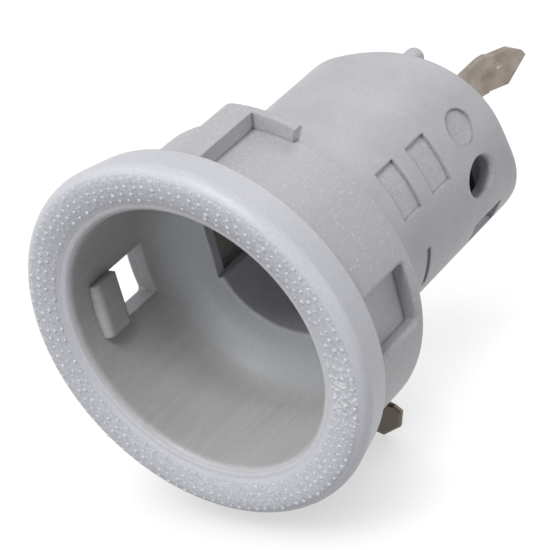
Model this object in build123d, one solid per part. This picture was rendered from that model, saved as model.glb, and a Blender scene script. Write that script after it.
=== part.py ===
from build123d import *
import math
import os

# Lamp holder for a small screw-cap lamp, made to be fixed in a round panel cut-out.
# All lengths are millimetres.
#
# The pieces are drawn in holder axes and turned into the part's axes at the end:
#   holder X is up, holder Y is to the right, holder Z is the depth behind the flange.
#   A clock angle is measured round the depth axis, from up towards the right.
# In the part's own axes up is +Z, right is +X and the depth is +Y.
HOLDER = Plane(origin=(0, 0, 0), x_dir=(0, 0, 1), z_dir=(0, 1, 0))

# Wall thickness used through the moulding
WALL = 1.36
BARREL_WALL = 1.8

# Cup: the bowl the lamp stands in
CUP_R = 15.64
BOWL_START = 7.7
BOWL_ROUND = 5.0
CUP_FLOOR = BOWL_START + BOWL_ROUND
CUP_OUTER_R = CUP_R + WALL
FLOOR_REAR = CUP_FLOOR + WALL

# Sleeve: the oval skirt behind the flange, two high sectors and two rising ones
SLEEVE_R = CUP_OUTER_R + 1.96
SLEEVE_LOW_R = CUP_OUTER_R + 0.25
SLEEVE_MID_R = CUP_OUTER_R + 1.35
SLEEVE_END = 10.6
SLEEVE_EDGE = 0.4
SLEEVE_HIGH_FROM = 48.0
SLEEVE_HIGH_TO = 137.0
SLEEVE_MID_AT = 191.5

# Flange: a rounded band round the mouth, drafted towards its rear edge
FLANGE_LEDGE = 1.54
FLANGE_DRAFT = 0.7
FLANGE_REAR_R = SLEEVE_R + FLANGE_LEDGE
FLANGE_R = FLANGE_REAR_R + FLANGE_DRAFT
FLANGE_FRONT = -5.3
FLANGE_SHOULDER = 1.6
LIP_FRONT = -4.5
LIP_ROUND = 1.0
FLANGE_CROWN = 0.22

# Pads: raised blocks on the low sectors, each with a lip along the sleeve's rear edge
PAD_R = SLEEVE_R + 1.34
PAD_FROM = -1.5
PAD_TO = 12.0
PAD_CORNER = 1.6
PAD_REAR_EDGE = 0.5
LIP_TO = 27.0
LIP_START = 9.6
LIP_END = 10.9

# Pockets in the high sectors, left and right
POCKET_WIDTH = 7.0
POCKET_END = 9.3
POCKET_CORNER = 0.5
POCKET_EDGE = 0.5

# Window through the left pocket, and the catch in front of it inside the cup
WINDOW_WIDTH = 6.5
WINDOW_START = 2.5
WINDOW_END = 8.7
CATCH_START = -1.1
CATCH_HEIGHT = 1.25
CATCH_ROUND = 0.9

# Barrel behind the cup, with a slanting rear rim
BARREL_R = 13.26
BARREL_BORE_R = BARREL_R - BARREL_WALL
RIM_MID = 36.7
RIM_SLOPE = 0.34
CHIN_START = 41.1
CHIN_SLOPE = 0.40
CHIN_END = 43.9
RIM_ROUND = 1.0
RIM_BLEND = 5.0

# Lamp socket: a plain bore, a lead-in and a screw bore for the 14 mm cap
SOCKET_GAP = 0.86
BORE_WALL = 1.2
BORE_R = BARREL_BORE_R - SOCKET_GAP - BORE_WALL
BORE_MOUTH_ROUND = 0.4
BORE_END = 19.0
THREAD_R = 7.0
THREAD_CREST_R = 6.25
THREAD_PITCH = 2.822
THREAD_WALL = 1.4
THREAD_END = 33.0
THREAD_TURNS = 3
THREAD_SECTOR = 56.0
THREAD_FIRST = 4.2
BASE_REAR = THREAD_END + 1.6

# Side slot in the socket for the side contact's tongue
SLOT_LOW = -3.2
SLOT_HIGH = 3.6
SLOT_END = 29.0
SLOT_FLOOR_X = BORE_R + 0.1

# Ribs between the screw tube and the barrel
RIB = 1.2
RIB_CLOCKS = (25.0, 145.0, 215.0, 325.0)
RIB_START = 20.0

# Shallow marks and the round hole on the barrel's right side
MARK_DEPTH = 0.4
MARK_1 = (53.3, 79.5, 18.7, 22.2)
MARK_2 = (54.2, 79.9, 24.7, 28.4)
DISC_CLOCK = 64.7
DISC_DEPTH = 33.9
DISC_R = 2.15
HOLE_CLOCK = 93.0
HOLE_DEPTH = 34.1
HOLE_R = 2.35
HOLE_MOUTH_R = 3.05
ARC_GROOVE = (101.0, 123.0, 21.2, 22.0)
UNDER_SLOT = (119.0, 133.0, 33.0, 39.0)

# Flat wall inside the barrel, behind the round hole and beside the centre contact
GUARD_AT = THREAD_R + THREAD_WALL + 0.5
GUARD_WALL = 1.0

# Round-ended pin on the barrel's inner wall near the top
NUB_CLOCK = 20.0
NUB_AT_R = BARREL_BORE_R + 0.24
NUB_R = 1.15
NUB_START = 31.0
NUB_END = 40.4

# Contacts: both are stamped from one strip thickness and end in the same blade width
STRIP = 0.8
BLADE = 4.8
COIN = 0.22
FIT = 0.12

# Centre contact: its blade stands to the right behind the rim and leans outwards
PLATE = 4.8
TONGUE = 3.0
TONGUE_AT = -3.4
PLATE_NECK = 5.4
PLATE_ARM = 3.0
PLATE_SKEW = 0.7
BLADE_X = 7.9
BLADE_TOP = 7.3
BLADE_TURN = 9.0
BLADE_BEND = 46.9
BLADE_ANGLE = 25.6
BLADE_BEND_R = 3.0
BLADE_LENGTH = 3.55
DIMPLE = (1.55, 2.15)
DIMPLE_BALL = 1.2
DIMPLE_DEPTH = 0.16
BLADE_TIP = ((0, 0), (1.24, 2.24), (1.9, 2.64), (4.8, 0))

# Side contact: a flat ring sector behind the cup's floor with its blade below the barrel
SIDE_IN_R = BORE_R + BORE_WALL + FIT
SIDE_FROM = 162.0
SIDE_TO = 285.0
SIDE_CLOCK = 199.0
SIDE_LEG_U = 3.0
SIDE_BLADE_V = BARREL_R + 1.64
SIDE_BLADE_LENGTH = 7.9
SIDE_TIP = ((0, -1.0), (0.4, 0), (2.6, 0), (4.8, -1.9))
SIDE_LEG_IN = 1.0
SIDE_LAP = 0.3
SIDE_RIM_GAP = 0.3
SIDE_TONGUE = 4.8
SIDE_TONGUE_X = BARREL_BORE_R - 0.86
SIDE_TONGUE_LINE = ((-SIDE_TONGUE_X, STRIP / 2), (-SIDE_TONGUE_X, 6.5), (-THREAD_R - 0.3, 11.8),
                    (-THREAD_R - 1.0, 14.0))

# Stake on the socket's base that holds the centre contact
STAKE_X = 0.0
STAKE_Y = 1.8
STAKE_R = 1.2
STAKE_HEAD_R = 1.9
STAKE_HEAD = 0.7
BASE = (Align.CENTER, Align.CENTER, Align.MIN)


def polar(radius, clock):
    """Point at a radius and a clock angle, in the plane across the depth axis."""
    angle = math.radians(clock)
    return (radius * math.cos(angle), radius * math.sin(angle))


def sector(r_in, r_out, clock_a, clock_b):
    """Face between two radii and two clock angles."""
    middle = (clock_a + clock_b) / 2
    outline = Line(polar(r_in, clock_a), polar(r_out, clock_a))
    outline += ThreePointArc(polar(r_out, clock_a), polar(r_out, middle), polar(r_out, clock_b))
    outline += Line(polar(r_out, clock_b), polar(r_in, clock_b))
    outline += ThreePointArc(polar(r_in, clock_b), polar(r_in, middle), polar(r_in, clock_a))
    return make_face(outline)


def sector_block(r_in, r_out, clock_a, clock_b, depth_a, depth_b):
    """Block between two radii, two clock angles and two depths."""
    return extrude(Pos(0, 0, depth_a) * sector(r_in, r_out, clock_a, clock_b), depth_b - depth_a)


def block(x_a, x_b, y_a, y_b, z_a, z_b):
    """Box between two limits on each holder axis."""
    return Pos((x_a + x_b) / 2, (y_a + y_b) / 2, (z_a + z_b) / 2) * Box(
        abs(x_b - x_a), abs(y_b - y_a), abs(z_b - z_a)
    )


def radial(clock, depth):
    """Place something drawn along Z so that it points outwards at a clock angle."""
    return Pos(0, 0, depth) * Rot(0, 0, clock) * Rot(0, 90, 0)


def shell():
    """Flange, cup, barrel and lamp socket, turned as one section about the depth axis."""
    shoulder_r = FLANGE_R - FLANGE_SHOULDER
    shoulder_z = FLANGE_FRONT + FLANGE_SHOULDER
    lip_r = CUP_R + LIP_ROUND
    lip_z = LIP_FRONT + LIP_ROUND
    crown = ((lip_r + shoulder_r) / 2, (LIP_FRONT + FLANGE_FRONT) / 2 - FLANGE_CROWN)
    bowl = (CUP_R - BOWL_ROUND, BOWL_START)
    outer_round = BOWL_ROUND + WALL
    meet = math.degrees(math.acos((BARREL_R - bowl[0]) / outer_round))
    mouth_r = BORE_R + BORE_MOUTH_ROUND
    lead = BORE_R - THREAD_R
    tube_r = THREAD_R + THREAD_WALL
    collar_r = BORE_R + BORE_WALL

    cup_wall = Line((CUP_R, lip_z), (CUP_R, BOWL_START))
    bowl_in = CenterArc(bowl, BOWL_ROUND, 0, 90)
    floor = Line(bowl_in @ 1, (mouth_r, CUP_FLOOR))
    mouth = CenterArc((mouth_r, CUP_FLOOR + BORE_MOUTH_ROUND), BORE_MOUTH_ROUND, 270, -90)
    socket = Polyline(
        mouth @ 1,
        (BORE_R, BORE_END),
        (THREAD_R, BORE_END + lead),
        (THREAD_R, THREAD_END),
        (0, THREAD_END),
        (0, BASE_REAR),
        (tube_r, BASE_REAR),
        (tube_r, BORE_END + lead),
        (collar_r, BORE_END),
        (collar_r, FLOOR_REAR),
        (BARREL_BORE_R, FLOOR_REAR),
        (BARREL_BORE_R, CHIN_END + 1),
        (BARREL_R, CHIN_END + 1),
        (BARREL_R, BOWL_START + outer_round * math.sin(math.radians(meet))),
    )
    bowl_out = CenterArc(bowl, outer_round, meet, -meet)
    seat = Polyline(
        bowl_out @ 1,
        (CUP_OUTER_R, 0),
        (FLANGE_REAR_R, 0),
        (FLANGE_R, shoulder_z),
    )
    shoulder = CenterArc((shoulder_r, shoulder_z), FLANGE_SHOULDER, 0, -90)
    front = ThreePointArc(shoulder @ 1, crown, (lip_r, LIP_FRONT))
    lip = CenterArc((lip_r, lip_z), LIP_ROUND, 270, -90)
    outline = cup_wall + bowl_in + floor + mouth + socket + bowl_out + seat + shoulder + front + lip
    return revolve(Plane.XZ * make_face(outline), Axis.Z)


def sleeve():
    """Oval skirt behind the flange; the same outline twice round the axis."""
    outline = Curve()
    for turn in (0, 180):
        high_a = SLEEVE_HIGH_FROM + turn
        high_b = SLEEVE_HIGH_TO + turn
        outline += ThreePointArc(
            polar(SLEEVE_R, high_a),
            polar(SLEEVE_R, (high_a + high_b) / 2),
            polar(SLEEVE_R, high_b),
        )
        outline += Line(polar(SLEEVE_R, high_b), polar(SLEEVE_LOW_R, high_b))
        outline += ThreePointArc(
            polar(SLEEVE_LOW_R, high_b),
            polar(SLEEVE_MID_R, SLEEVE_MID_AT + turn),
            polar(SLEEVE_R, high_a + 180),
        )
    inner = Circle(CUP_OUTER_R - 0.7)
    skirt = extrude(make_face(outline) - inner, SLEEVE_END)
    rear_edges = skirt.faces().sort_by(Axis.Z)[-1].outer_wire().edges()
    skirt = fillet(rear_edges, SLEEVE_EDGE)
    skirt -= [pocket(1), pocket(-1)]
    return fillet(pocket_edges(skirt), POCKET_EDGE)


def pocket_edges(skirt):
    """Edges of both pockets on the skirt's outer surface, apart from those at the flange."""
    found = []
    for edge in skirt.edges():
        ends = [edge @ t for t in (0, 0.5, 1)]
        on_skirt = all(abs(math.hypot(p.X, p.Y) - SLEEVE_R) < 0.01 for p in ends)
        at_pocket = all(abs(p.X) < POCKET_WIDTH / 2 + 0.01 and p.Z < POCKET_END + 0.01 for p in ends)
        if on_skirt and at_pocket and (edge @ 0.5).Z > 0.01:
            found.append(edge)
    return found


def pad():
    """Raised block with its lip, drawn at the top."""
    base_r = CUP_OUTER_R - 0.4
    raised = sector_block(base_r, PAD_R, PAD_FROM, PAD_TO, 0, LIP_END)
    side_edge = raised.edges().filter_by(Axis.Z).group_by(Axis.X)[-1].sort_by(Axis.Y)[0]
    raised = fillet(side_edge, PAD_CORNER)
    raised += sector_block(base_r, PAD_R, PAD_TO - 1.5, LIP_TO, LIP_START, LIP_END)
    rear_edges = raised.faces().sort_by(Axis.Z)[-1].edges()
    rear_edges = rear_edges.filter_by(lambda e: abs(e.center().X) > CUP_OUTER_R)
    rear_edges = rear_edges.filter_by(GeomType.CIRCLE)
    return fillet(rear_edges, PAD_REAR_EDGE)


def pocket(side):
    """Cutter for the pocket on the right (1) or the left (-1)."""
    wall = Plane(origin=(0, side * CUP_OUTER_R, POCKET_END / 2), x_dir=(1, 0, 0), z_dir=(0, side, 0))
    face = Rectangle(POCKET_WIDTH, POCKET_END)
    rear = Axis.Y if wall.y_dir.Z > 0 else -Axis.Y
    face = fillet(face.vertices().group_by(rear)[-1], POCKET_CORNER)
    return extrude(wall * face, 4)


def window():
    """Cutter for the window through the left pocket's floor."""
    half = WINDOW_WIDTH / 2
    return block(-half, half, -CUP_OUTER_R - 1, -CUP_R + 3, WINDOW_START, WINDOW_END)


def catch():
    """Catch on the cup's left wall, in front of the window."""
    half = WINDOW_WIDTH / 2
    tip = -(CUP_R - CATCH_HEIGHT)
    body = block(-half, half, -(CUP_R + 0.6), tip, CATCH_START, WINDOW_START)
    inner_edges = body.edges().filter_by(Axis.X).group_by(Axis.Y)[-1]
    return fillet(inner_edges.sort_by(Axis.Z)[0], CATCH_ROUND)


def mark(clock_a, clock_b, depth_a, depth_b):
    """Cutter for a shallow four-sided mark on the barrel."""
    return sector_block(BARREL_R - MARK_DEPTH, BARREL_R + 1, clock_a, clock_b, depth_a, depth_b)


def side_hole():
    """Cutter for the round hole through the barrel wall, its mouth rounded over."""
    mouth = HOLE_MOUTH_R - HOLE_R
    outline = Polyline((0, 1.5), (0, -2 * BARREL_WALL), (HOLE_R, -2 * BARREL_WALL), (HOLE_R, -mouth))
    outline += CenterArc((HOLE_MOUTH_R, -mouth), mouth, 180, -90)
    outline += Polyline((HOLE_MOUTH_R, 0), (HOLE_MOUTH_R + 0.6, 0.2), (HOLE_MOUTH_R + 0.6, 1.5), (0, 1.5))
    cutter = revolve(Plane.XZ * make_face(outline), Axis.Z)
    return radial(HOLE_CLOCK, HOLE_DEPTH) * Pos(0, 0, BARREL_R - 0.05) * cutter


def thread():
    """Moulded screw ribs in three sectors, each rib leaning with the pitch."""
    lean = math.degrees(math.atan(THREAD_PITCH / (2 * math.pi * THREAD_R)))
    half = 0.65
    crest = 0.25
    section = make_face(Polyline(
        (THREAD_R + 0.3, -half),
        (THREAD_CREST_R, -crest),
        (THREAD_CREST_R, crest),
        (THREAD_R + 0.3, half),
        close=True,
    ))
    rib = revolve(Plane.XZ * section, Axis.Z, THREAD_SECTOR)
    rib = Rot(0, 0, -THREAD_SECTOR / 2) * rib
    rib = Rot(-lean, 0, 0) * rib
    ribs = []
    for index, clock in enumerate((0.0, 90.0, 180.0)):
        for turn in range(THREAD_TURNS):
            depth = BORE_END + THREAD_FIRST + (turn + index / 4) * THREAD_PITCH
            ribs.append(Pos(0, 0, depth) * Rot(0, 0, clock) * rib)
    return ribs


def rim_cutter():
    """Everything behind the slanting rim and its chin on the underside."""
    size = 60
    slant = math.degrees(math.atan(RIM_SLOPE))
    chin = math.degrees(math.atan(CHIN_SLOPE))
    above_rim = Pos(0, 0, RIM_MID) * Rot(slant, 0, 0) * Pos(0, 0, size / 2) * Box(size, size, size)
    above_chin = Pos(0, 0, CHIN_START) * Rot(0, chin, 0) * Pos(0, 0, size / 2) * Box(size, size, size)
    beyond = Pos(0, 0, CHIN_END + size / 2) * Box(size, size, size)
    cutter = (above_rim & above_chin) + beyond
    hips = cutter.edges().filter_by(lambda e: e.center().Z < size and e.center().Z > 0)
    hips = hips.filter_by(lambda e: math.hypot(e.center().X, e.center().Y) < size / 2 - 5)
    return fillet(hips, RIM_BLEND)


def rim_edges(body):
    """Outer edges of the barrel's rear rim."""
    found = []
    for edge in body.edges():
        ends = [edge @ t for t in (0.1, 0.5, 0.9)]
        on_barrel = all(abs(math.hypot(p.X, p.Y) - BARREL_R) < 0.01 for p in ends)
        if on_barrel and min(p.Z for p in ends) > BASE_REAR - 1:
            found.append(edge)
    return found


def nub():
    """Small round-ended pin inside the barrel wall that stands past the rim."""
    x, y = polar(NUB_AT_R, NUB_CLOCK)
    pin = Pos(x, y, NUB_START) * Cylinder(NUB_R, NUB_END - NUB_START, align=BASE)
    return fillet(pin.edges().group_by(Axis.Z)[-1], NUB_R * 0.8)


def side_slot():
    """Opening in the socket's left wall for the side contact's tongue."""
    front = block(SLOT_LOW, SLOT_HIGH, -SLOT_FLOOR_X, -2, CUP_FLOOR - 1, FLOOR_REAR + 0.5)
    rear = block(SLOT_LOW, SLOT_HIGH, -BARREL_BORE_R + 0.4, -2, FLOOR_REAR, SLOT_END)
    return front + rear


def stake(x, y, depth):
    """Moulded pin with a flattened head that holds a contact's plate."""
    shank = Pos(x, y, depth - 0.3) * Cylinder(STAKE_R, STRIP + 0.5, align=BASE)
    head = Pos(x, y, depth + STRIP + 0.02) * Cylinder(STAKE_HEAD_R, STAKE_HEAD, align=BASE)
    head = fillet(head.edges().group_by(Axis.Z)[-1], STAKE_HEAD * 0.7)
    return shank + head


def make_housing():
    """The grey moulding."""
    body = shell()
    half = RIB / 2
    wall_in = THREAD_R + 0.5
    wall_out = BARREL_BORE_R + 0.5
    body += [
        Rot(0, 0, clock) * block(wall_in, wall_out, -half, half, RIB_START, BASE_REAR)
        for clock in RIB_CLOCKS
    ]
    reach = math.sqrt((BARREL_BORE_R + 0.5) ** 2 - (GUARD_AT + GUARD_WALL) ** 2)
    body += block(-reach, reach, GUARD_AT, GUARD_AT + GUARD_WALL, RIB_START, CHIN_END + 1)
    body -= rim_cutter()
    body = fillet(rim_edges(body), RIM_ROUND)
    disc = radial(DISC_CLOCK, DISC_DEPTH) * Pos(0, 0, BARREL_R - MARK_DEPTH) * Cylinder(
        DISC_R, 3, align=BASE)
    groove = sector_block(BARREL_R - 0.3, BARREL_R + 1, *ARC_GROOVE)
    under = sector_block(BARREL_R - 0.8, BARREL_R + 1, *UNDER_SLOT)
    body -= [side_slot(), plate_slot(), mark(*MARK_1), mark(*MARK_2), disc, side_hole(), groove,
             under, base_slot()]
    body += [nub(), sleeve(), pad(), Rot(0, 0, 180) * pad()]
    body -= window()
    body += [catch(), stake(STAKE_X, STAKE_Y, BASE_REAR)]
    body += thread()
    return body


def plate_slot():
    """Slot across the barrel's underside where the side contact is pushed in."""
    return sector_block(SIDE_IN_R - FIT, BARREL_R + 1, SIDE_FROM - 1.5, SIDE_TO + 1.5,
                        FLOOR_REAR, FLOOR_REAR + STRIP + FIT)


def base_slot():
    """Slot through the socket's base for the centre contact's tongue."""
    half = TONGUE / 2 + FIT
    return block(-half, half, TONGUE_AT - STRIP / 2 - FIT, TONGUE_AT + STRIP / 2 + FIT,
                 THREAD_END - 1, BASE_REAR + 1)


def blade_end(length, tip):
    """Flat blade of full width, from its root up to a pointed tip with coined edges.

    It lies with its width along X from 0 to the blade's width and its length along Y.
    """
    outline = Polyline((0, 0), *[(x, length + y) for x, y in tip], (BLADE, 0), close=True)
    blade = extrude(make_face(outline), STRIP)
    rims = blade.edges().filter_by(Plane.XY)
    rims = rims.filter_by(lambda e: e.center().Y > 0.1)
    return chamfer(rims, COIN)


def make_centre_contact():
    """Plate on the socket's base, a spring tongue to the lamp and the blade behind."""
    plate = extrude(Pos(0, 0, BASE_REAR) * make_face(Polyline(
        (-PLATE / 2, TONGUE_AT - STRIP / 2),
        (PLATE / 2, TONGUE_AT - STRIP / 2),
        (PLATE / 2, BLADE_X - PLATE_NECK),
        (BLADE_TOP, BLADE_X - PLATE_ARM),
        (BLADE_TOP, BLADE_X),
        (BLADE_TOP - BLADE, BLADE_X - PLATE_SKEW),
        (-PLATE / 2, BLADE_X - PLATE_ARM),
        close=True,
    )), STRIP)
    plate -= Pos(STAKE_X, STAKE_Y, BASE_REAR) * Cylinder(STAKE_R + FIT, 2 * STRIP + 1)
    middle = BASE_REAR + STRIP / 2
    tongue_line = Polyline(
        (TONGUE_AT, middle),
        (TONGUE_AT, THREAD_END - 0.9),
        (1.0, THREAD_END - 2.6),
        (2.2, THREAD_END - 2.0),
    )
    tongue = extrude(Plane.YZ * trace(tongue_line, STRIP), TONGUE / 2, both=True)
    edge = Pos(BLADE_TOP, BLADE_X, 0) * Rot(0, 0, 180 + BLADE_TURN)
    set_back = BLADE_BEND_R * math.tan(math.radians(BLADE_ANGLE / 2))
    riser = block(0, BLADE, 0, STRIP, BASE_REAR, BLADE_BEND - set_back)
    pivot = Pos(0, -BLADE_BEND_R, BLADE_BEND - set_back)
    section = Pos(BLADE / 2, BLADE_BEND_R + STRIP / 2, 0) * Rectangle(BLADE, STRIP)
    knee = pivot * revolve(section, Axis.X, BLADE_ANGLE)
    blade = blade_end(BLADE_LENGTH - set_back, BLADE_TIP)
    blade -= Pos(DIMPLE[0], DIMPLE[1] - set_back, STRIP + DIMPLE_BALL - DIMPLE_DEPTH) * Sphere(DIMPLE_BALL)
    lean = pivot * Rot(BLADE_ANGLE, 0, 0) * Pos(0, BLADE_BEND_R, 0)
    blade = lean * Plane.XZ.location * Pos(0, 0, -STRIP) * blade
    return plate + tongue + edge * (riser + knee + blade)


def make_side_contact():
    """Plate pushed in behind the cup's floor, a spring tongue and the lower blade."""
    rim_r = BARREL_R - SIDE_RIM_GAP
    plate = sector_block(SIDE_IN_R, rim_r, SIDE_FROM, SIDE_TO, FLOOR_REAR, FLOOR_REAR + STRIP)
    turn = Pos(0, 0, FLOOR_REAR) * Rot(0, 0, SIDE_CLOCK)
    leg_end = -SIDE_LEG_U - BLADE
    leg = turn * block(SIDE_IN_R + SIDE_LEG_IN, SIDE_BLADE_V + BLADE, leg_end, -SIDE_LEG_U, 0, STRIP)
    blade = turn * Pos(SIDE_BLADE_V, -SIDE_LEG_U - BLADE + SIDE_LAP, STRIP) * Rot(180, 0, 0) * blade_end(
        SIDE_BLADE_LENGTH, SIDE_TIP)
    tongue_line = Polyline(*[(y, FLOOR_REAR + z) for y, z in SIDE_TONGUE_LINE])
    tongue = extrude(Plane.YZ * trace(tongue_line, STRIP), SIDE_TONGUE / 2, both=True)
    tongue = Pos((SLOT_LOW + SLOT_HIGH) / 2, 0, 0) * tongue
    return plate + leg + blade + tongue


if __name__ == "__main__":
    os.makedirs("parts", exist_ok=True)
    pieces = {
        "housing": make_housing(),
        "centre_contact": make_centre_contact(),
        "side_contact": make_side_contact(),
    }
    for name, piece in pieces.items():
        export_step(HOLDER.location * piece, "parts/" + name + ".step")
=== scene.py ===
import functools
import math

import bpy
from mathutils import Matrix, Vector


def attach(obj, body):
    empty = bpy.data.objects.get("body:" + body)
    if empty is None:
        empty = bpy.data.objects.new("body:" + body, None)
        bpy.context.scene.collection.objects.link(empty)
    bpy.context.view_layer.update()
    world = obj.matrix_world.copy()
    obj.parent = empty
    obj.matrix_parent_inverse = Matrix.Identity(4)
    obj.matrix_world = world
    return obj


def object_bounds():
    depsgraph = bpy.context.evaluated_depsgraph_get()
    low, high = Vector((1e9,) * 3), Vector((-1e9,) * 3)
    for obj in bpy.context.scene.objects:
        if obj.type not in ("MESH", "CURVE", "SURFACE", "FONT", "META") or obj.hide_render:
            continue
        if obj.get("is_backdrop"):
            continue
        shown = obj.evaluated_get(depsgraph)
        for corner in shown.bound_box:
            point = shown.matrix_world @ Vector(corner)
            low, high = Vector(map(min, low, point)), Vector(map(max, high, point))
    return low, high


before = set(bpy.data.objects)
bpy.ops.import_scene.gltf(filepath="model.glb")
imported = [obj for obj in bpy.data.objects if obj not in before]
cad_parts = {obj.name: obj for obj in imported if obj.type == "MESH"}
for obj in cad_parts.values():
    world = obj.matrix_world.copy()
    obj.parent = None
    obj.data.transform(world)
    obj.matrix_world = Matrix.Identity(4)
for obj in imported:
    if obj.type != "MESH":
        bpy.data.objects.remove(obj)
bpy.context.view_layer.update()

bl_info = {
    "name": "Lamp holder finish",
    "version": (1, 0, 0),
    "blender": (4, 5, 0),
    "location": "View3D > Sidebar > Lamp holder",
    "description": "Dresses the packed lamp holder: grain, dots, tinned contacts and a studio",
    "category": "Object",
}

MM = 0.001
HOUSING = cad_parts["housing"]
CONTACTS = (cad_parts["centre_contact"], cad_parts["side_contact"])

# Where the photograph was taken from, in the part's frame (metres), and its picture axes
CAMERA_AT = Vector((0.14762, -0.15863, 0.11676))
CAMERA_RIGHT = Vector((0.8087, 0.5371, -0.2397))
CAMERA_BACK = Vector((0.5815, -0.6686, 0.4636))
CAMERA_LENS = 154.54
CAMERA_NEAR = 0.01
SENSOR = 36.0

# Studio lamps: name, place in metres, width in metres and power in watts
LAMPS = (
    ("key", (0.08, -0.40, 0.77), 0.35, 4.7),
    ("front_fill", (0.00, -0.85, 0.15), 0.50, 1.6),
    ("left_fill", (-0.60, -0.30, 0.50), 0.50, 1.5),
    ("right_fill", (0.80, 0.10, 0.15), 0.50, 2.0),
    ("back_fill", (0.10, 0.70, 0.55), 0.50, 1.3),
)
# Share of the white surroundings that lights the object
AMBIENT = 0.12

# The paper floor: half its width, how far it lies under the object, how white it looks in the
# open and how near the object has to be to shade it
FLOOR_REACH = 3.0
FLOOR_GAP = 0.2 * MM
PAPER_GLOW = 0.97
SHADE_REACH = 14 * MM

# Rows of raised dots on the flange's front band: radius in millimetres and number in the row
DOT_ROWS = ((17.45, 82), (18.25, 88), (19.05, 106), (20.0, 106))

# Parts of the moulding, by radius and by depth in millimetres: name, from, to, from, to
ZONES = (
    ("band", 17.1, 20.4, -9.0, -4.0),
    # shoulder also takes the painted sheen, and lip the painted highlight
    ("shoulder", 20.4, 25.0, -9.0, 0.1),
    ("lip", 16.1, 17.1, -9.0, -3.4),
    ("skirt", 17.1, 20.4, -0.1, 14.0),
    # inside takes the warm painted shade tint, cup_floor the cool painted lit tint
    ("inside", -1.0, 16.0, -4.0, 13.2),
    ("wall", -1.0, 16.0, -4.0, 9.5),
    ("cup_floor", 9.0, 15.2, 10.2, 13.2),
    ("marks", 12.4, 13.1, 16.0, 40.0),
    # hollow: where the painted shade inside the barrel goes
    ("hollow", 8.6, 11.3, 19.2, 37.0),
    ("flange_edge", 20.2, 25.0, -0.30, 0.20),
    ("skirt_edge", 17.15, 20.0, 10.3, 10.8),
)
# Half the width over which a zone's tone fades into the next
ZONE_FADE = 0.05 * MM

# Middle of the scuffed spot on the front band, and where its crumbs start and stop thinning out
RUBBED_SPOT = Vector((18.7, -5.2, -3.0)) * MM
RUBBED_FROM = 1.5 * MM
RUBBED_TO = 6 * MM

# A speck fades over its own size and is gone at this many times its size from its middle
SPECK_END = 1.3

# Drawing lines on the cup's wall: its radius, the lines' spacing, and pattern steps in a metre
# along the axis, so that a line is about 17 mm long
CUP_WALL_R = 15.6 * MM
LINE_PITCH = 1.1 * MM
LINE_STEPS = 60.0

# How far the painted shade reaches out of a corner
CORNER_SHADE_REACH = 0.5 * MM

PLASTIC_IOR = 1.53


def linear(hex_colour):
    """sRGB hex value as a linear RGBA colour."""
    out = []
    for i in (1, 3, 5):
        c = int(hex_colour[i:i + 2], 16) / 255
        out.append(c / 12.92 if c <= 0.04045 else ((c + 0.055) / 1.055) ** 2.4)
    return (*out, 1.0)


def add_node(tree, kind, inputs=(), **settings):
    """Adds a node with its settings, sets or links its inputs, and gives its first output."""
    node = tree.nodes.new(kind)
    for key, value in settings.items():
        setattr(node, key, value)
    for key, value in dict(inputs if isinstance(inputs, dict) else enumerate(inputs)).items():
        if isinstance(value, bpy.types.NodeSocket):
            tree.links.new(value, node.inputs[key])
        else:
            node.inputs[key].default_value = value
    return node.outputs[0] if node.outputs else None


def new_material(name):
    """Empty node material, and the function that adds its nodes."""
    material = bpy.data.materials.new(name)
    material.use_nodes = True
    material.node_tree.nodes.clear()
    return material, functools.partial(add_node, material.node_tree)


def specks(add, place, pitch, size, share):
    """Small round specks: one in some of the cells of the given pitch, fading to their edge."""
    cells = add("ShaderNodeTexVoronoi", {"Vector": place, "Scale": 1 / pitch}).node.outputs
    pick = add("ShaderNodeSeparateColor", {0: cells["Color"]})
    chosen = add("ShaderNodeMath", (pick, share), operation="LESS_THAN")
    near = add("ShaderNodeMath", (cells["Distance"], -pitch / size, SPECK_END),
               operation="MULTIPLY_ADD", use_clamp=True)
    return add("ShaderNodeMath", (near, chosen), operation="MULTIPLY")


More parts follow.
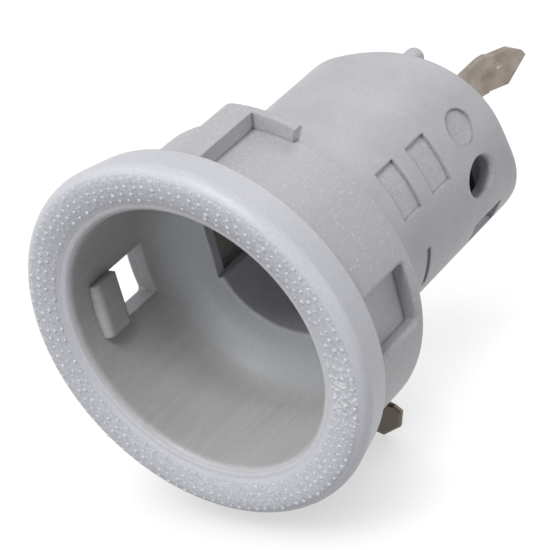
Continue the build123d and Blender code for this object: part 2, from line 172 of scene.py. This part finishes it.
def moulded_plastic(sizes):
    """Glass-filled polyamide, injection moulded in a spark-eroded mould.

    The eye gets a cool grey with a fine matt grain and small pale specks on the skirt, a frosted
    front band beside a smoother shoulder whose paler tone is painted sheen, a painted highlight on
    the cup's lip, painted shade in the corners, a warm painted shade tint inside the cup with a
    cool lit tint on its floor, painted shade in the hollow inside the barrel, and faint drawing
    lines along the cup's wall where the core was pulled out.
    """
    material, add = new_material("moulded_polyamide_grey")
    place = add("ShaderNodeTexCoord").node.outputs["Object"]
    xyz = add("ShaderNodeSeparateXYZ", (place,)).node.outputs
    depth = xyz[1]
    across = add("ShaderNodeVectorMath", (place, (1.0, 0.0, 1.0)), operation="MULTIPLY")
    radius = add("ShaderNodeVectorMath", (across,), operation="LENGTH").node.outputs["Value"]
    clock = add("ShaderNodeMath", (xyz[0], xyz[2]), operation="ARCTAN2")

    # Each zone is 1 between its limits and 0 outside them
    zones = {}
    for name, r_from, r_to, y_from, y_to in ZONES:
        zone = 1.0
        for value, limit, fade in (
            (radius, r_from, ZONE_FADE), (radius, r_to, -ZONE_FADE),
            (depth, y_from, ZONE_FADE), (depth, y_to, -ZONE_FADE),
        ):
            step = add("ShaderNodeMapRange", (value, limit * MM - fade, limit * MM + fade))
            zone = add("ShaderNodeMath", (zone, step), operation="MULTIPLY")
        zones[name] = zone

    # Cloudy tone in patches of about 6 mm
    cloud = add("ShaderNodeTexNoise", {
        "Vector": place, "Scale": 1 / (6 * MM), "Detail": 4.0, "Roughness": 0.6})
    cloud = add("ShaderNodeMapRange", (cloud, 0.32, 0.68))
    tone = add("ShaderNodeMix", {0: cloud, 6: sizes.plastic_dark, 7: sizes.plastic_light},
               data_type="RGBA").node.outputs[2]
    # Frosting in the front band, drawn in patches of about 0.3 mm so that it shows
    frost = add("ShaderNodeTexNoise", {
        "Vector": place, "Scale": 1 / (0.32 * MM), "Detail": 3.0, "Roughness": 0.75})
    frost = add("ShaderNodeMapRange", (frost, 0.38, 0.64))
    frosted = add("ShaderNodeMix", {0: frost, 6: sizes.frost_dark, 7: sizes.frost_light},
                  data_type="RGBA").node.outputs[2]
    # Edges rubbed pale in short lengths of about 1 mm
    rub = add("ShaderNodeTexNoise", {"Vector": place, "Scale": 1 / (1.0 * MM), "Detail": 2.0})
    rub = add("ShaderNodeMapRange", (rub, 0.35, 0.65, 0.25, 0.75))
    edges = add("ShaderNodeMath", (zones["flange_edge"], zones["skirt_edge"]), operation="MAXIMUM")
    rubbed = add("ShaderNodeMath", (edges, rub), operation="MULTIPLY")
    # Pale specks of 0.13 to 0.2 mm: fine ones on the skirt, sparser ones on the shoulder too
    fine = specks(add, place, pitch=0.42 * MM, size=0.13 * MM, share=0.5)
    fine = add("ShaderNodeMath", (fine, zones["skirt"]), operation="MULTIPLY")
    flange = add("ShaderNodeMath", (zones["skirt"], zones["shoulder"]), operation="MAXIMUM")
    sparse = specks(add, place, pitch=1.1 * MM, size=0.20 * MM, share=0.22)
    sparse = add("ShaderNodeMath", (sparse, flange), operation="MULTIPLY")
    speck = add("ShaderNodeMath", (fine, sparse), operation="MAXIMUM")
    # Scuffs: pale crumbs of 0.25 mm round the rubbed spot on the band
    away = add("ShaderNodeVectorMath", (place, RUBBED_SPOT), operation="DISTANCE")
    away = away.node.outputs["Value"]
    patch = add("ShaderNodeMapRange", (away, RUBBED_FROM, RUBBED_TO, 1.0, 0.0))
    crumbs = specks(add, place, pitch=0.45 * MM, size=0.25 * MM, share=0.6)
    for share in (patch, zones["band"]):
        crumbs = add("ShaderNodeMath", (crumbs, share), operation="MULTIPLY")
    # The tones go on in this order, each over the ones before it
    for zone, share, colour in (
        # Painted shade: a warm tint inside the cup; painted light: a cool tint back on the cup's
        # floor
        (zones["inside"], 1.0, sizes.plastic_cup_shade_tint),
        (zones["cup_floor"], 1.0, sizes.plastic_cup_floor_lit_tint),
        (zones["skirt"], 1.0, sizes.plastic_skirt),
        # Painted sheen: the paler tone on the shoulder; painted highlight: the same tone at 0.8 on
        # the lip
        (zones["shoulder"], 1.0, sizes.plastic_painted_sheen),
        (zones["lip"], 0.8, sizes.plastic_painted_sheen),
        # Painted shade: the dark tone inside the barrel behind the round hole
        (zones["hollow"], 1.0, sizes.plastic_painted_barrel_shade),
        (zones["band"], 0.75, frosted),
        (rubbed, 1.0, sizes.plastic_edge),
        (speck, 0.4, sizes.speck),
        (crumbs, 1.0, sizes.crumb),
    ):
        share = add("ShaderNodeMath", (zone, share), operation="MULTIPLY")
        tone = add("ShaderNodeMix", {0: share, 6: tone, 7: colour},
                   data_type="RGBA").node.outputs[2]

    # Grain of about 0.35 mm, stronger on the sunk marks' floors
    grit = add("ShaderNodeTexNoise", {
        "Vector": place, "Scale": 1 / (0.35 * MM), "Detail": 2.0, "Roughness": 0.7})
    grit = add("ShaderNodeMath", (grit, 0.5), operation="SUBTRACT")
    strength = add("ShaderNodeMath", (zones["marks"], 0.40, 0.25), operation="MULTIPLY_ADD")
    shade = add("ShaderNodeMath", (grit, strength, 1.0), operation="MULTIPLY_ADD")
    # Drawing lines on the cup's wall
    line_place = add("ShaderNodeCombineXYZ", (
        add("ShaderNodeMath", (clock, CUP_WALL_R / LINE_PITCH), operation="MULTIPLY"),
        add("ShaderNodeMath", (depth, LINE_STEPS), operation="MULTIPLY")))
    lines = add("ShaderNodeTexNoise", {
        "Vector": line_place, "Scale": 1.0, "Detail": 2.0, "Roughness": 0.6})
    lines = add("ShaderNodeMath", (lines, 0.5), operation="SUBTRACT")
    lines = add("ShaderNodeMath", (lines, zones["wall"]), operation="MULTIPLY")
    shade = add("ShaderNodeMath", (lines, 0.32, shade), operation="MULTIPLY_ADD")
    # Painted shade: corners and the edges round the sunk marks are darkened by how shut in they
    # are
    open_air = add("ShaderNodeAmbientOcclusion", {"Distance": CORNER_SHADE_REACH}, samples=6,
                   only_local=True).node.outputs["AO"]
    painted_corner_shade = add("ShaderNodeMapRange", (open_air, 0.35, 0.85, sizes.corner_painted_shade, 1.0))
    shade = add("ShaderNodeMath", (shade, painted_corner_shade), operation="MULTIPLY")
    tone = add("ShaderNodeHueSaturation", {"Color": tone, "Value": shade})

    # Relief, with heights in millimetres: grain, a waviness of about 3 mm, frosting, the sunk
    # marks' grit, specks, crumbs and drawing lines
    grain = add("ShaderNodeTexNoise", {
        "Vector": place, "Scale": 1 / (0.30 * MM), "Detail": 3.0, "Roughness": 0.65})
    wave = add("ShaderNodeTexNoise", {"Vector": place, "Scale": 1 / (3 * MM)})
    frosting = add("ShaderNodeMath", (frost, zones["band"]), operation="MULTIPLY")
    mark_grit = add("ShaderNodeMath", (grit, zones["marks"]), operation="MULTIPLY")
    relief = 0.0
    for part, height in (
        (grain, 0.030), (wave, 0.06), (frosting, 0.02), (mark_grit, 0.05), (speck, 0.035),
        (crumbs, 0.06), (lines, 0.05),
    ):
        relief = add("ShaderNodeMath", (part, height * MM, relief), operation="MULTIPLY_ADD")
    rounded = add("ShaderNodeBevel", {"Radius": sizes.edge_round}, samples=4)
    bump = add("ShaderNodeBump", {
        "Height": relief, "Strength": 1.0, "Distance": 1.0, "Normal": rounded})
    shader = add("ShaderNodeBsdfPrincipled", {
        "Base Color": tone, "Normal": bump, "Roughness": 0.42, "IOR": PLASTIC_IOR})
    add("ShaderNodeOutputMaterial", {"Surface": shader})
    return material


def raised_plastic(sizes):
    """The same polyamide on the raised dots, rubbed pale by handling, and paler still as a painted
    highlight.

    The eye gets small patches of two pale tones, partly painted highlight, with a finer grain than
    on the rest.
    """
    material, add = new_material("polyamide_dots_rubbed_and_highlit")
    place = add("ShaderNodeTexCoord").node.outputs["Object"]
    patch = add("ShaderNodeTexNoise", {"Vector": place, "Scale": 1 / (0.8 * MM), "Detail": 2.0})
    patch = add("ShaderNodeMapRange", (patch, 0.35, 0.65))
    # Pale from rubbing and partly a painted highlight
    tone = add("ShaderNodeMix", {0: patch, 6: sizes.frost_light, 7: sizes.dot_pale_and_highlight},
               data_type="RGBA").node.outputs[2]
    grain = add("ShaderNodeTexNoise", {"Vector": place, "Scale": 1 / (0.12 * MM), "Detail": 2.0})
    grain = add("ShaderNodeMath", (grain, 0.012 * MM), operation="MULTIPLY")
    bump = add("ShaderNodeBump", {"Height": grain, "Strength": 1.0, "Distance": 1.0})
    shader = add("ShaderNodeBsdfPrincipled", {
        "Base Color": tone, "Normal": bump, "Roughness": 0.50, "IOR": PLASTIC_IOR})
    add("ShaderNodeOutputMaterial", {"Surface": shader})
    return material


def tinned_strip(sizes):
    """Hot-tinned brass strip, stamped and bent.

    The eye gets a warm grey metal of low shine with rolling lines along the strip and a few dark
    smears, a matt oxide on the spring beside the lamp, and painted shade on the blade under the
    cup.
    """
    material, add = new_material("tinned_brass_strip")
    place = add("ShaderNodeTexCoord").node.outputs["Object"]
    xyz = add("ShaderNodeSeparateXYZ", (place,)).node.outputs
    smear = add("ShaderNodeTexNoise", {
        "Vector": place, "Scale": 1 / (2.2 * MM), "Detail": 5.0, "Roughness": 0.6})
    share = add("ShaderNodeMapRange", (smear, 0.32, 0.68))
    tone = add("ShaderNodeMix", {0: share, 6: sizes.tin_dark, 7: sizes.tin_light},
               data_type="RGBA").node.outputs[2]
    # The oxide covers what is within the socket: depth under 32 mm and height over -12 mm
    shallow = add("ShaderNodeMapRange", (xyz[1], 30 * MM, 34 * MM, 1.0, 0.0))
    heat = add("ShaderNodeMapRange", (xyz[2], -13 * MM, -11 * MM))
    heat = add("ShaderNodeMath", (heat, shallow), operation="MULTIPLY")
    metal = add("ShaderNodeMath", (heat, -0.8, 1.0), operation="MULTIPLY_ADD")
    # Painted shade on the blade under the cup: darker for height under -14 mm
    painted_shade_low = add("ShaderNodeMapRange", (xyz[2], -13 * MM, -15 * MM))
    for share, colour in ((heat, sizes.tin_heated), (painted_shade_low, sizes.tin_painted_shade)):
        tone = add("ShaderNodeMix", {0: share, 6: tone, 7: colour},
                   data_type="RGBA").node.outputs[2]
    along = add("ShaderNodeMapping", {"Vector": place, "Scale": (1.0, 0.08, 1.0)})
    rolled = add("ShaderNodeTexNoise", {"Vector": along, "Scale": 1 / (0.12 * MM), "Detail": 2.0})
    rolled = add("ShaderNodeMath", (rolled, 0.012 * MM), operation="MULTIPLY")
    bump = add("ShaderNodeBump", {"Height": rolled, "Strength": 1.0, "Distance": 1.0})
    rough = add("ShaderNodeMath", (smear, 0.22, 0.28), operation="MULTIPLY_ADD")
    shader = add("ShaderNodeBsdfPrincipled", {
        "Base Color": tone, "Normal": bump, "Metallic": metal, "Roughness": rough})
    add("ShaderNodeOutputMaterial", {"Surface": shader})
    return material


def seen_directly(add):
    """1 for rays from the camera and in reflections and glass, 0 for light that bounces."""
    path = add("ShaderNodeLightPath").node.outputs
    seen = path["Is Camera Ray"]
    for ray in ("Is Glossy Ray", "Is Transmission Ray"):
        seen = add("ShaderNodeMath", (seen, path[ray]), operation="MAXIMUM")
    return seen


def floor_paper(sizes):
    """White seamless paper.

    To the camera and in reflections it is white and keeps the object's soft shadow; light that
    bounces meets a grey, so that the underside stays in shade.
    """
    material, add = new_material("white_seamless_paper")
    open_air = add("ShaderNodeAmbientOcclusion", {"Distance": SHADE_REACH}, samples=8)
    glow = add("ShaderNodeMapRange", (
        open_air.node.outputs["AO"], 0.2, 0.85, PAPER_GLOW - sizes.floor_shadow, PAPER_GLOW))
    plain = add("ShaderNodeEmission", {"Strength": glow})
    lit = add("ShaderNodeBsdfDiffuse", {"Color": sizes.floor_lit})
    white = add("ShaderNodeAddShader", (plain, lit))
    bounce = add("ShaderNodeBsdfDiffuse", {"Color": sizes.floor_bounce})
    paper = add("ShaderNodeMixShader", (seen_directly(add), bounce, white))
    add("ShaderNodeOutputMaterial", {"Surface": paper})
    return material


def dot_tree(material):
    """Geometry Nodes tree: one row of small raised dots round the front band."""
    tree = bpy.data.node_groups.new("raised_dots", "GeometryNodeTree")
    add = functools.partial(add_node, tree)
    face = tree.interface
    face.new_socket("Geometry", in_out="OUTPUT", socket_type="NodeSocketGeometry")
    for name, kind, value in (
        ("Row radius", "Float", 18.9 * MM),
        ("Depth", "Float", -5.2 * MM),
        ("Dot radius", "Float", 0.2 * MM),
        ("Scatter", "Float", 0.1 * MM),
        ("Flatness", "Float", 0.4),
        ("Dots", "Int", 100),
        ("Seed", "Int", 7),
    ):
        socket = face.new_socket(name, in_out="INPUT", socket_type="NodeSocket" + kind)
        socket.default_value = value
    given = add("NodeGroupInput").node.outputs
    row = add("GeometryNodeMeshCircle", {"Vertices": given["Dots"], "Radius": given["Row radius"]})
    row = add("GeometryNodeTransform", {
        "Geometry": row, "Rotation": (math.pi / 2, 0, 0),
        "Translation": add("ShaderNodeCombineXYZ", {1: given["Depth"]})})
    spread = add("FunctionNodeRandomValue", {
        0: (-1.0, 0.0, -1.0), 1: (1.0, 0.0, 1.0), "Seed": given["Seed"]}, data_type="FLOAT_VECTOR")
    offset = add("ShaderNodeVectorMath", {0: spread, "Scale": given["Scatter"]}, operation="SCALE")
    row = add("GeometryNodeSetPosition", {"Geometry": row, "Offset": offset})
    points = add("GeometryNodeMeshToPoints", {"Mesh": row})
    ball = add("GeometryNodeMeshUVSphere", {
        "Segments": 8, "Rings": 5, "Radius": given["Dot radius"]})
    size = add("FunctionNodeRandomValue", {2: 0.75, 3: 1.15, "Seed": given["Seed"]},
               data_type="FLOAT").node.outputs[1]
    height = add("ShaderNodeMath", (size, given["Flatness"]), operation="MULTIPLY")
    turned = add("GeometryNodeTransform", {"Geometry": ball, "Rotation": (math.pi / 2, 0, 0)})
    placed = add("GeometryNodeInstanceOnPoints", {
        "Points": points, "Instance": turned,
        "Scale": add("ShaderNodeCombineXYZ", (size, height, size))})
    real = add("GeometryNodeRealizeInstances", {"Geometry": placed})
    smooth = add("GeometryNodeSetShadeSmooth", {"Geometry": real})
    done = add("GeometryNodeSetMaterial", {"Geometry": smooth, "Material": material})
    add("NodeGroupOutput", (done,))
    return tree


def plain_mesh_from_tree(name, tree, values):
    """Runs a Geometry Nodes tree and keeps its result as a plain mesh object at the origin."""
    obj = bpy.data.objects.new(name, bpy.data.meshes.new(name))
    bpy.context.scene.collection.objects.link(obj)
    modifier = obj.modifiers.new("shape", "NODES")
    modifier.node_group = tree
    for item in tree.interface.items_tree:
        if item.item_type == "SOCKET" and item.in_out == "INPUT" and item.name in values:
            modifier[item.identifier] = values[item.name]
    graph = bpy.context.evaluated_depsgraph_get()
    mesh = bpy.data.meshes.new_from_object(obj.evaluated_get(graph))
    obj.modifiers.clear()
    obj.data = mesh
    mesh.name = name
    return obj


def set_material(obj, material):
    """Gives an object one material in place of what it had."""
    obj.data.materials.clear()
    obj.data.materials.append(material)


def colour_property(name, hex_colour, description):
    """Colour that the sidebar shows as a swatch."""
    return bpy.props.FloatVectorProperty(name=name, description=description, subtype="COLOR",
                                         size=4, min=0.0, max=1.0, default=linear(hex_colour))


class HolderSizes(bpy.types.PropertyGroup):
    """Sizes and colours of the dressed lamp holder."""

    plastic_light: colour_property("Plastic, light", "#C3C3C8", "Lighter tone of the moulding")
    plastic_dark: colour_property("Plastic, dark", "#B8B8BD", "Darker tone of the moulding")
    # Painted shade tint inside the cup, and painted lit tint on the cup's floor
    plastic_cup_shade_tint: colour_property("Plastic, inside", "#BAB9B9", "Tone inside the cup")
    plastic_cup_floor_lit_tint: colour_property("Plastic, cup floor", "#B7BABE", "Tone of the cup's floor")
    plastic_skirt: colour_property(
        "Plastic, skirt", "#BBBBBF", "Tone of the skirt behind the flange")
    # Painted sheen: paler tone on the shoulder, also used as the painted highlight on the lip
    plastic_painted_sheen: colour_property(
        "Plastic, shoulder", "#D0D1D8", "Tone of the flange's smooth shoulder")
    # Painted shade: dark tone inside the barrel behind the round hole
    plastic_painted_barrel_shade: colour_property(
        "Plastic, hollow", "#505052", "Tone of the dark space inside the barrel")
    plastic_edge: colour_property("Plastic, edge", "#DAD2CF", "Tone of the rubbed edges")
    # Painted shade: how dark a corner is painted, 1 for no shade
    corner_painted_shade: bpy.props.FloatProperty(
        name="Corner tone", description="How dark the dust makes a corner: 1 is clean",
        default=0.55, min=0.0, max=1.0, subtype="FACTOR")
    edge_round: bpy.props.FloatProperty(
        name="Edge rounding", description="Radius to which sharp edges look rounded",
        default=0.40 * MM, min=0.0, precision=5, unit="LENGTH")
    speck: colour_property("Speck", "#E6E6EA", "Colour of the glass specks in the plastic")
    crumb: colour_property("Crumb", "#F2F3F6", "Colour of the crumbs on the scuffed spot")
    frost_light: colour_property(
        "Frost, light", "#DADCE4", "Pale patches of the frosted front band")
    frost_dark: colour_property("Frost, dark", "#BBBEC7", "Dark patches of the frosted front band")
    # Dots: pale from rubbing and partly a painted highlight
    dot_pale_and_highlight: colour_property("Dots", "#DCDEE6", "Colour of the rubbed dots on the front band")
    dot_radius: bpy.props.FloatProperty(
        name="Dot radius", description="Radius of a raised dot", default=0.24 * MM, min=0.05 * MM,
        precision=5, unit="LENGTH")
    dot_flatness: bpy.props.FloatProperty(
        name="Dot flatness", description="Height of a dot against its radius", default=0.25,
        min=0.05, max=1.0, subtype="FACTOR")
    dot_scatter: bpy.props.FloatProperty(
        name="Dot scatter", description="How far a dot may stand off its row", default=0.10 * MM,
        min=0.0, precision=5, unit="LENGTH")
    dot_seed: bpy.props.IntProperty(
        name="Dot seed", description="Starting number of the dots' random scatter", default=7)
    tin_light: colour_property("Tin, light", "#A39A90", "Lighter tone of the tinned strip")
    tin_dark: colour_property("Tin, dark", "#857B70", "Darker tone of the tinned strip")
    tin_heated: colour_property(
        "Tin, heated", "#A09A94", "Tone of the oxide on the spring beside the lamp")
    # Painted shade: darker tone of the blade under the cup
    tin_painted_shade: colour_property("Tin, dulled", "#6F675F", "Tone of the blade under the cup")
    floor_bounce: colour_property(
        "Floor bounce", "#9C9C9C", "Grey of the floor for light that bounces")
    floor_lit: colour_property("Floor, lit", "#5A5A5A", "Share of lamp light that the floor shows")
    floor_shadow: bpy.props.FloatProperty(
        name="Floor shadow", description="Depth of the soft shadow under the object",
        default=0.40, min=0.0, max=0.9, subtype="FACTOR")


class HOLDER_OT_housing(bpy.types.Operator):
    """Gives the housing its moulded plastic"""

    bl_idname = "holder.housing"
    bl_label = "Housing finish"

    def execute(self, context):
        set_material(HOUSING, moulded_plastic(context.scene.holder_sizes))
        return {"FINISHED"}


class HOLDER_OT_dots(bpy.types.Operator):
    """Sets rows of raised dots round the front band of the flange"""

    bl_idname = "holder.dots"
    bl_label = "Front dots"

    def execute(self, context):
        sizes = context.scene.holder_sizes
        tree = dot_tree(raised_plastic(sizes))
        graph = context.evaluated_depsgraph_get()
        for number, (radius, count) in enumerate(DOT_ROWS):
            in_front = Vector((0, -1, radius * MM))
            found, at, _, _ = HOUSING.ray_cast(in_front, Vector((0, 1, 0)), depsgraph=graph)
            if not found:
                raise RuntimeError("no front band under a row of dots")
            dots = plain_mesh_from_tree("front_dots_" + str(number + 1), tree, {
                "Row radius": radius * MM,
                "Depth": at.y,
                "Dot radius": sizes.dot_radius,
                "Scatter": sizes.dot_scatter,
                "Flatness": sizes.dot_flatness,
                "Dots": count,
                "Seed": sizes.dot_seed + number,
            })
            if not dots.data.polygons:
                raise RuntimeError("the raised dots came out empty")
            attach(dots, "root")
        return {"FINISHED"}


class HOLDER_OT_contacts(bpy.types.Operator):
    """Gives both contacts their tinned finish"""

    bl_idname = "holder.contacts"
    bl_label = "Contacts finish"

    def execute(self, context):
        material = tinned_strip(context.scene.holder_sizes)
        for contact in CONTACTS:
            set_material(contact, material)
        return {"FINISHED"}


class HOLDER_OT_stage(bpy.types.Operator):
    """Makes the floor, the studio light, the world and the camera"""

    bl_idname = "holder.stage"
    bl_label = "Stage"

    def execute(self, context):
        scene = context.scene
        low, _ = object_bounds()
        level = low.z - FLOOR_GAP
        floor_mesh = bpy.data.meshes.new("floor")
        floor_mesh.from_pydata([
            (-FLOOR_REACH, -FLOOR_REACH, level), (FLOOR_REACH, -FLOOR_REACH, level),
            (FLOOR_REACH, FLOOR_REACH, level), (-FLOOR_REACH, FLOOR_REACH, level),
        ], [], [(0, 1, 2, 3)])
        floor_mesh.materials.append(floor_paper(scene.holder_sizes))
        floor = bpy.data.objects.new("floor", floor_mesh)
        scene.collection.objects.link(floor)
        floor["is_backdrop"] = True

        for name, at, size, power in LAMPS:
            lamp = bpy.data.lights.new(name, "AREA")
            lamp.size = size
            lamp.energy = power
            holder = bpy.data.objects.new(name, lamp)
            holder.location = at
            holder.rotation_mode = "QUATERNION"
            holder.rotation_quaternion = (-Vector(at)).to_track_quat("-Z", "Y")
            scene.collection.objects.link(holder)

        world = bpy.data.worlds.new("studio")
        scene.world = world
        world.use_nodes = True
        world.node_tree.nodes.clear()
        add = functools.partial(add_node, world.node_tree)
        strength = add("ShaderNodeMath", (seen_directly(add), 1 - AMBIENT, AMBIENT),
                       operation="MULTIPLY_ADD")
        back = add("ShaderNodeBackground", {"Color": linear("#FFFFFF"), "Strength": strength})
        add("ShaderNodeOutputWorld", (back,))

        data = bpy.data.cameras.new("camera")
        data.lens = CAMERA_LENS
        data.sensor_width = SENSOR
        data.clip_start = CAMERA_NEAR
        camera = bpy.data.objects.new("camera", data)
        scene.collection.objects.link(camera)
        back_axis = CAMERA_BACK.normalized()
        right_axis = (CAMERA_RIGHT - back_axis * CAMERA_RIGHT.dot(back_axis)).normalized()
        up_axis = back_axis.cross(right_axis)
        turn = Matrix((right_axis, up_axis, back_axis)).transposed()
        camera.matrix_world = Matrix.Translation(CAMERA_AT) @ turn.to_4x4()
        scene.camera = camera
        scene.view_settings.view_transform = "Standard"
        return {"FINISHED"}


class HOLDER_PT_panel(bpy.types.Panel):
    """Lists the steps and sizes of the lamp holder's finish"""

    bl_label = "Lamp holder"
    bl_idname = "HOLDER_PT_panel"
    bl_space_type = "VIEW_3D"
    bl_region_type = "UI"
    bl_category = "Lamp holder"

    def draw(self, context):
        layout = self.layout
        sizes = context.scene.holder_sizes
        for name in HolderSizes.__annotations__:
            layout.prop(sizes, name)
        for name in ("holder.housing", "holder.dots", "holder.contacts", "holder.stage"):
            layout.operator(name)


CLASSES = (HolderSizes, HOLDER_OT_housing, HOLDER_OT_dots, HOLDER_OT_contacts, HOLDER_OT_stage,
           HOLDER_PT_panel)


def register():
    for cls in CLASSES:
        bpy.utils.register_class(cls)
    bpy.types.Scene.holder_sizes = bpy.props.PointerProperty(type=HolderSizes)


def unregister():
    del bpy.types.Scene.holder_sizes
    for cls in reversed(CLASSES):
        bpy.utils.unregister_class(cls)


def main():
    """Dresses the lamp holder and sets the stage."""
    register()
    bpy.ops.holder.housing()
    bpy.ops.holder.dots()
    bpy.ops.holder.contacts()
    bpy.ops.holder.stage()


if __name__ == "__main__":
    main()
